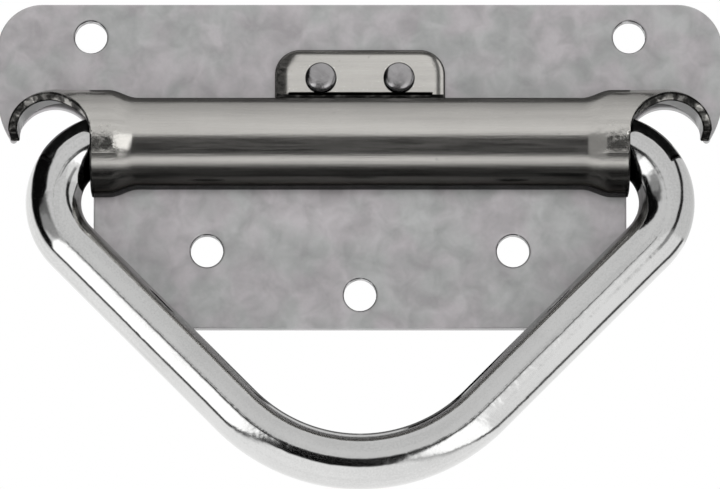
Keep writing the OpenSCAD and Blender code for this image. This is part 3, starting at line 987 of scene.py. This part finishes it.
def build_world():
    """A white surround for the camera, reflections and glass, and a plain grey fill for everything else."""
    world = bpy.data.worlds.new("studio")
    bpy.context.scene.world = world
    world.use_nodes = True
    tree = world.node_tree
    path = node(tree, "LightPath").outputs
    seen = maths(tree, "ADD", path["Is Camera Ray"], path["Is Glossy Ray"], clamp=True)
    seen = maths(tree, "ADD", seen, path["Is Transmission Ray"], clamp=True)
    fill = tree.nodes["Background"].inputs
    feed(tree, fill["Color"], (1.0, 1.0, 1.0))
    feed(tree, fill["Strength"], sloped(tree, seen, 0.75, 0.25))


def soft_lamp(name, place, size, power):
    """A square area lamp that lights matt surfaces softly."""
    target = Vector((0, 0, -20 * MM))
    data = bpy.data.lights.new(name, "AREA")
    data.size, data.energy = size, power
    lamp = bpy.data.objects.new(name, data)
    bpy.context.scene.collection.objects.link(lamp)
    lamp.location = place
    lamp.rotation_euler = (target - Vector(place)).to_track_quat("-Z", "Y").to_euler()
    lamp.visible_glossy = False


def build_camera(s, hinge_y):
    """A long lens at the photograph's angle: focal length over sensor is distance over view width."""
    data = bpy.data.cameras.new("studio_camera")
    data.sensor_width = 36.0
    data.lens = data.sensor_width * s.distance / s.view_width
    data.clip_start, data.clip_end = 0.1, 50.0
    camera = bpy.data.objects.new("studio_camera", data)
    bpy.context.scene.collection.objects.link(camera)
    back, over = sight(s.elevation)
    camera.location = (0, hinge_y, 0) - over * s.aim_drop + back * s.distance
    camera.rotation_euler = Vector(-back).to_track_quat("-Z", "Y").to_euler()
    bpy.context.scene.camera = camera


# Operators


class LUG_OT_back_plate(Operator):
    """Builds the galvanised back plate"""

    bl_idname = "lug.back_plate"
    bl_label = "Back plate"

    def execute(self, context):
        s, sheet = context.scene.lug_plate, context.scene.lug_sheet
        # Hole walls and rivet seats at half the zinc's colour: rough punched steel, darkened further as
        # painted shade inside the recesses.
        walls = raw_edge("punched_wall", scaled(s.tint, 0.5), 2.0, 0.3)
        piece = build_plate(s, context.scene.lug_rivets, [galvanised(s, sheet.collar_end), walls])
        weigh_normals(piece)
        fit(piece, "bracket", "back_plate")
        return {"FINISHED"}


class LUG_OT_retainer(Operator):
    """Builds the formed retainer and its riveted tab"""

    bl_idname = "lug.retainer"
    bl_label = "Retainer"

    def execute(self, context):
        s, hinge_y = context.scene.lug_sheet, context.scene.lug_ring.hinge_y
        plate_y = -context.scene.lug_plate.thickness
        edge = raw_edge("cut_edge", scaled(s.tint, 0.6), 2.0, 0.6)
        # The sheet's inside at an eighth of the plating's colour: dull steel, and painted shade where the
        # channel and hoods hide it.
        inside = raw_edge("dull_and_shaded_inside", scaled(s.tint, 0.12), 1.0, 0.3, s.collar_end + 1.2 * MM)
        # Near black on the sheet's eased edges and in the hollow at the tab's foot: partly real burr, and
        # painted shade along the edges and in the crease.
        burr = raw_edge("burr_and_crease_shade", scaled(s.tint, 0.1), 2.0, 0.2)
        satin = bright_sheet(s, "bright_tab", 1.2, 0.15, 0.08)
        sheet = build_channel(s, hinge_y, plate_y, [bright_sheet(s), edge, inside, burr])
        for piece in (sheet, build_tab(s, plate_y, [satin, burr])):
            fit(piece, "bracket", "retainer")
        return {"FINISHED"}


class LUG_OT_ring(Operator):
    """Builds the bent bar ring"""

    bl_idname = "lug.ring"
    bl_label = "Ring"

    def execute(self, context):
        s = context.scene.lug_ring
        fit(build_ring(s, bright_bar(s)), "ring", "ring")
        return {"FINISHED"}


class LUG_OT_rivets(Operator):
    """Builds the two domed rivets"""

    bl_idname = "lug.rivets"
    bl_label = "Rivets"

    def execute(self, context):
        s = context.scene.lug_rivets
        face_y = -context.scene.lug_plate.thickness - context.scene.lug_sheet.gauge
        fit(build_rivets(s, face_y, rivet_steel(s)), "bracket", "rivets")
        return {"FINISHED"}


class LUG_OT_stage(Operator):
    """Sets up the camera, the soft studio light, the tents and the floor"""

    bl_idname = "lug.stage"
    bl_label = "Stage"

    def execute(self, context):
        s = context.scene.lug_stage
        build_world()
        layouts = (
            ("studio_tent", 0.0, studio_light, ("bar_ring", "back_plate_blank", "domed_rivets")),
            ("tab_tent", s.elevation, tab_light, ("riveted_tab",)),
            ("sheet_tent", s.elevation, sheet_light, ("formed_retainer",)),
        )
        tents = [
            build_tent(name, s.tent * (1 + 0.05 * k), s.elevation, front, layout, pieces, k < 2)
            for k, (name, front, layout, pieces) in enumerate(layouts)
        ]
        build_floor(RING_LO.z - 0.5 * MM, s.tint)
        soft_lamp("key_lamp", (-0.15, -1.6, 0.12), 0.5, 15.5)
        soft_lamp("top_lamp", (-0.2, -0.1, 1.6), 1.2, 20)
        build_camera(s, context.scene.lug_ring.hinge_y)
        context.scene.view_settings.view_transform = "Standard"
        return {"FINISHED"}


class LUG_PT_panel(Panel):
    """Lists the operators and the sizes"""

    bl_idname = "LUG_PT_panel"
    bl_label = "Lifting lug"
    bl_space_type = "VIEW_3D"
    bl_region_type = "UI"
    bl_category = "Lug"

    def draw(self, context):
        for operator, settings, group in STEPS:
            box = self.layout.box()
            box.operator(operator.bl_idname)
            for name in group.__annotations__:
                box.prop(getattr(context.scene, settings), name)


# Each operator, with its settings on the scene and their group
STEPS = (
    (LUG_OT_back_plate, "lug_plate", LugPlateSizes),
    (LUG_OT_retainer, "lug_sheet", LugSheetSizes),
    (LUG_OT_ring, "lug_ring", LugRingSizes),
    (LUG_OT_rivets, "lug_rivets", LugRivetSizes),
    (LUG_OT_stage, "lug_stage", LugStageSettings),
)


def register():
    for operator, settings, group in STEPS:
        bpy.utils.register_class(group)
        bpy.utils.register_class(operator)
        setattr(bpy.types.Scene, settings, PointerProperty(type=group))
    bpy.utils.register_class(LUG_PT_panel)


def unregister():
    bpy.utils.unregister_class(LUG_PT_panel)
    for operator, settings, group in reversed(STEPS):
        delattr(bpy.types.Scene, settings)
        bpy.utils.unregister_class(operator)
        bpy.utils.unregister_class(group)


def main():
    register()
    for operator, _, _ in STEPS:
        name = operator.bl_idname.split(".")[1]
        getattr(bpy.ops.lug, name)()


if __name__ == "__main__":
    main()
